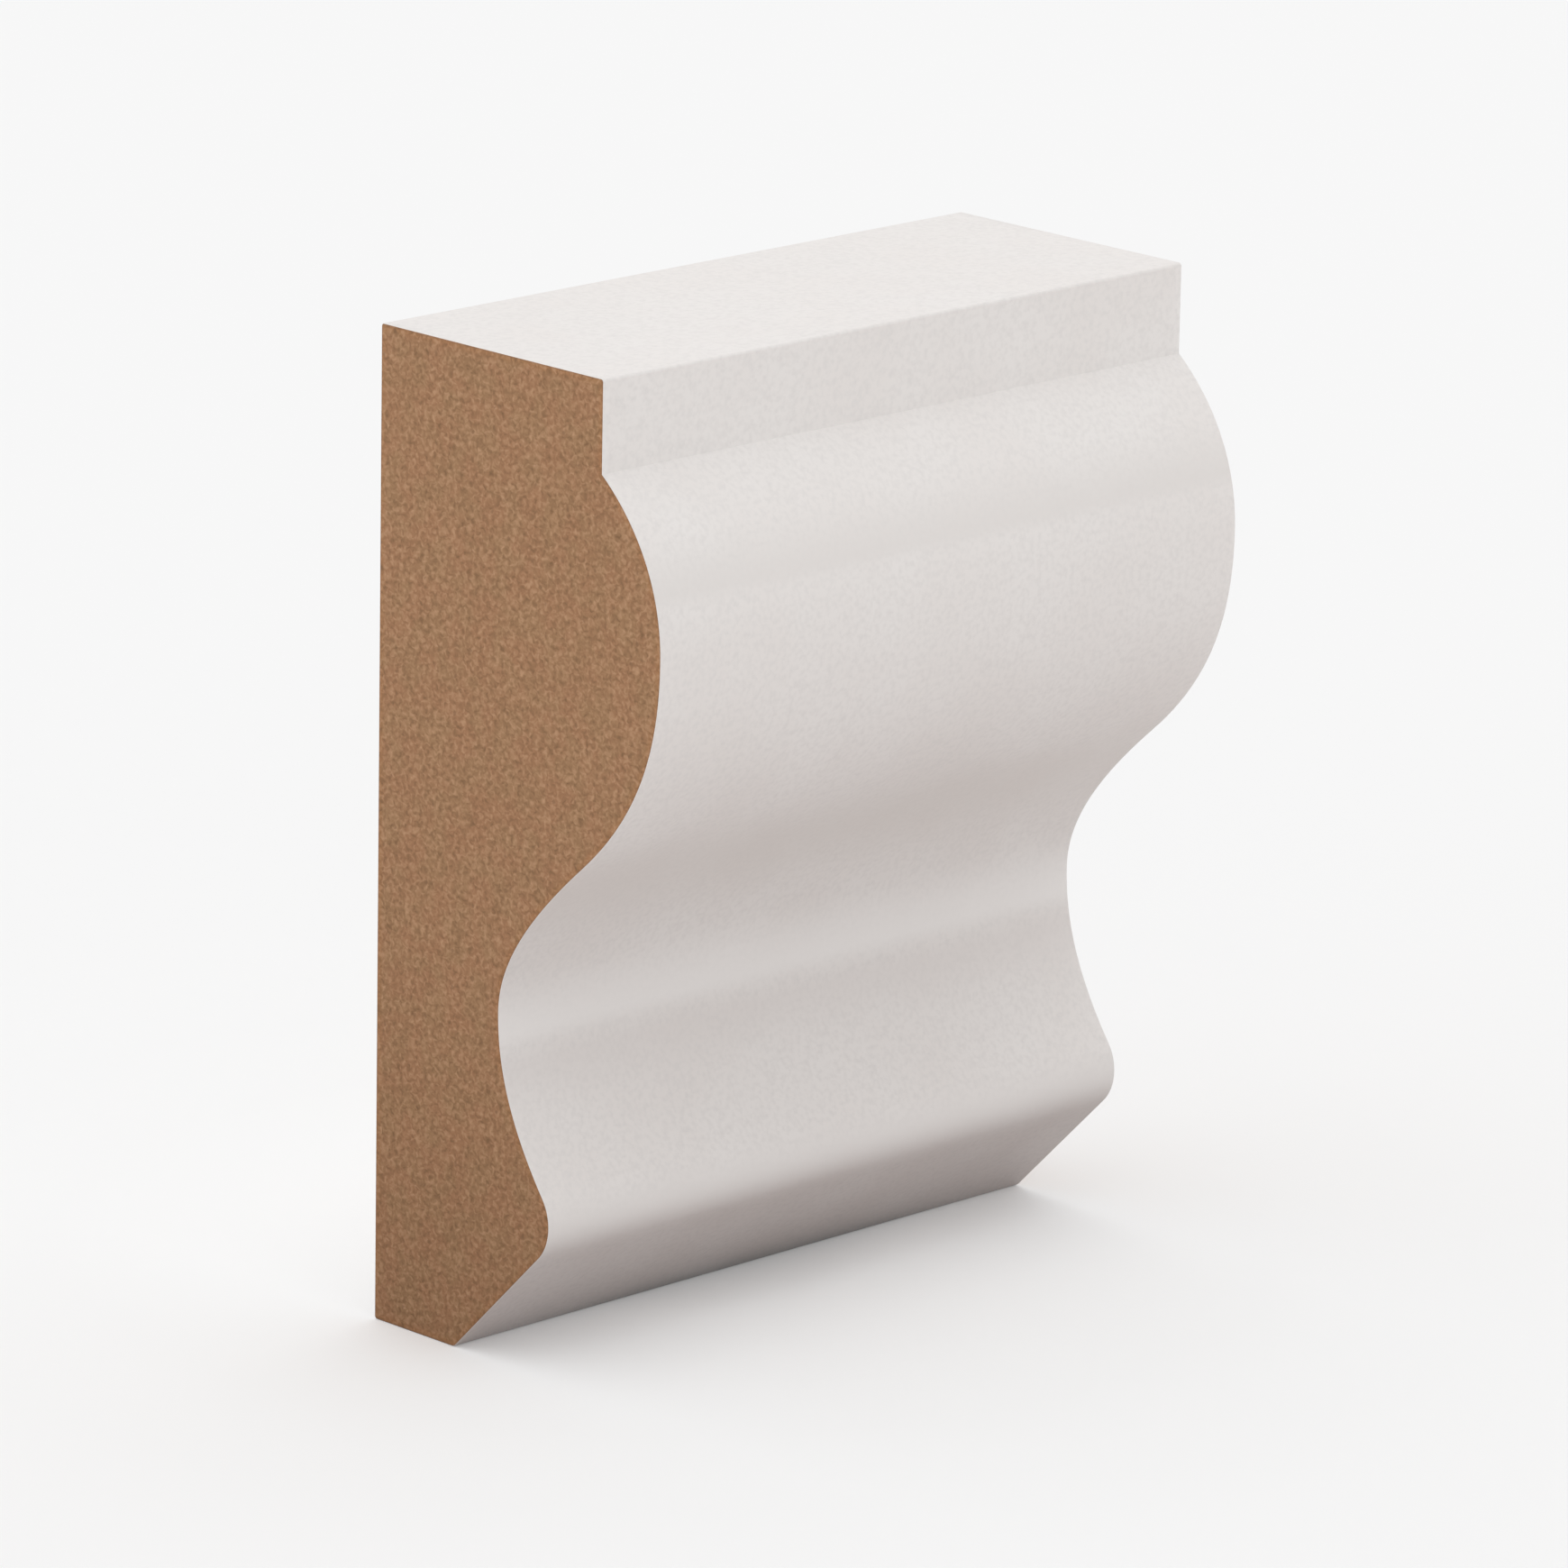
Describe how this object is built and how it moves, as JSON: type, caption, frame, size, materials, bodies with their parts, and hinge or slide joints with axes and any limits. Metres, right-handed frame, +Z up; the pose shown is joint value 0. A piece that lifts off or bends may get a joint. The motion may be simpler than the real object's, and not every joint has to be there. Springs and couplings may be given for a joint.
{
  "type": "inlay moulding",
  "caption": "Short square-cut length of primed fibreboard inlay moulding: fillet, full bulge, ogee into a cove, rounded nose and chamfered foot.",
  "frame": {"origin": "middle of the flat back face, which is glued or pinned to what carries the moulding", "axes": "+X along the moulding, +Y out of the flat back, so the moulded face looks towards -Y, +Z up from the chamfered foot to the top edge"},
  "size_m": [0.036, 0.018, 0.046],
  "materials": {
    "primed_fibreboard": "matt off-white primer on the back, edges and moulded face; raw brown fibreboard on the two cut ends"
  },
  "bodies": {
    "root": {"inlay_moulding": "primed_fibreboard"}
  },
  "joints": []
}
